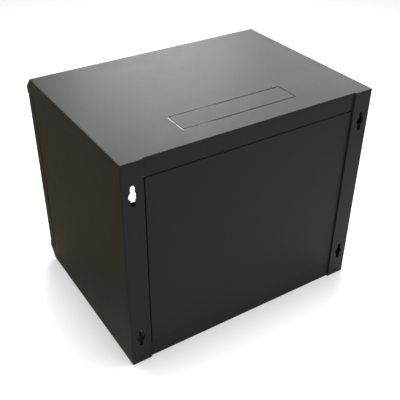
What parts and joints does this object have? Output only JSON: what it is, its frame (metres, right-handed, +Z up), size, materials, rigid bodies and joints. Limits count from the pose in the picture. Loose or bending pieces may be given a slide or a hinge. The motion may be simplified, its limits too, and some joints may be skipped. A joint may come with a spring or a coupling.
{
  "type": "wall mount network cabinet",
  "caption": "Black wall mount 19-inch network cabinet with a hinged glass door, hooded covers, keyholed rear columns, a lift-off rear panel and set-back rack rails.",
  "frame": {"origin": "middle of the underside of the cabinet", "axes": "+Z up, -Y the door side, +Y the wall side, +X the right-hand side of somebody who faces the door"},
  "size_m": [0.6, 0.456, 0.5],
  "materials": {
    "black_powder_coat": "fine satin powder coat, black",
    "zinc_plate": "bright zinc plated sheet",
    "zinc_fastener": "zinc plated fastener",
    "spring_steel": "oiled spring wire",
    "lock_chrome": "nickel plated zinc lock",
    "clear_glass": "clear toughened glass",
    "seal_rubber": "closed cell foam strip",
    "nylon": "natural nylon"
  },
  "bodies": {
    "carcass": {"top_cover": "black_powder_coat", "bottom_cover": "black_powder_coat", "side_panel_left": "black_powder_coat", "side_panel_right": "black_powder_coat", "cover_studs": "zinc_fastener", "cover_nuts": "zinc_fastener", "depth_bracket_upper_left": "black_powder_coat", "depth_bracket_upper_right": "black_powder_coat", "depth_bracket_lower_left": "black_powder_coat", "depth_bracket_lower_right": "black_powder_coat", "bracket_studs": "zinc_fastener", "bracket_nuts": "zinc_fastener", "earth_stud": "zinc_fastener", "door_seal": "seal_rubber", "hinge_fixed_pin": "zinc_fastener", "hinge_washer": "nylon"},
    "back": {"rear_panel": "black_powder_coat"},
    "left_rail": {"rail_left": "zinc_plate", "rail_bolts_left": "zinc_fastener", "rail_nuts_left": "zinc_fastener"},
    "right_rail": {"rail_right": "zinc_plate", "rail_bolts_right": "zinc_fastener", "rail_nuts_right": "zinc_fastener"},
    "door": {"door_frame": "black_powder_coat", "glass_tape": "seal_rubber", "door_glass": "clear_glass", "glass_clamp_left": "zinc_plate", "glass_clamp_right": "zinc_plate", "glass_clamp_upper": "zinc_plate", "glass_clamp_lower": "zinc_plate", "clamp_studs": "zinc_fastener", "clamp_nuts": "zinc_fastener", "hinge_bracket_upper": "zinc_plate", "hinge_bracket_lower": "zinc_plate", "hinge_spring": "spring_steel", "lock_body": "lock_chrome", "lock_nut": "zinc_fastener"},
    "release_pin": {"hinge_release_pin": "zinc_fastener"},
    "lock": {"lock_plug": "lock_chrome", "lock_cam": "zinc_plate", "lock_cam_screw": "zinc_fastener"}
  },
  "joints": [
    {"name": "door_hinge", "type": "hinge", "parent": "carcass", "child": "door", "pos_m": [-0.29, -0.21075, 0.25], "axis": [0, 0, -1], "range_deg": [0, 180]},
    {"name": "lock_turn", "type": "hinge", "parent": "door", "child": "lock", "pos_m": [0.25, -0.225, 0.25], "axis": [0, -1, 0], "range_deg": [0, 90]},
    {"name": "hinge_pin_release", "type": "slide", "parent": "door", "child": "release_pin", "axis": [0, 0, -1], "range_m": [0, 0.012], "stiffness_N_per_m": 600, "springref_m": -0.008, "deforming": ["hinge_spring"]},
    {"name": "rear_panel_lift", "type": "slide", "parent": "carcass", "child": "back", "axis": [0, 0, 1], "range_m": [0, 0.0035]},
    {"name": "left_rail_depth", "type": "slide", "parent": "carcass", "child": "left_rail", "axis": [0, 1, 0], "range_m": [0, 0.12]},
    {"name": "right_rail_depth", "type": "slide", "parent": "carcass", "child": "right_rail", "axis": [0, 1, 0], "range_m": [0, 0.12]}
  ]
}
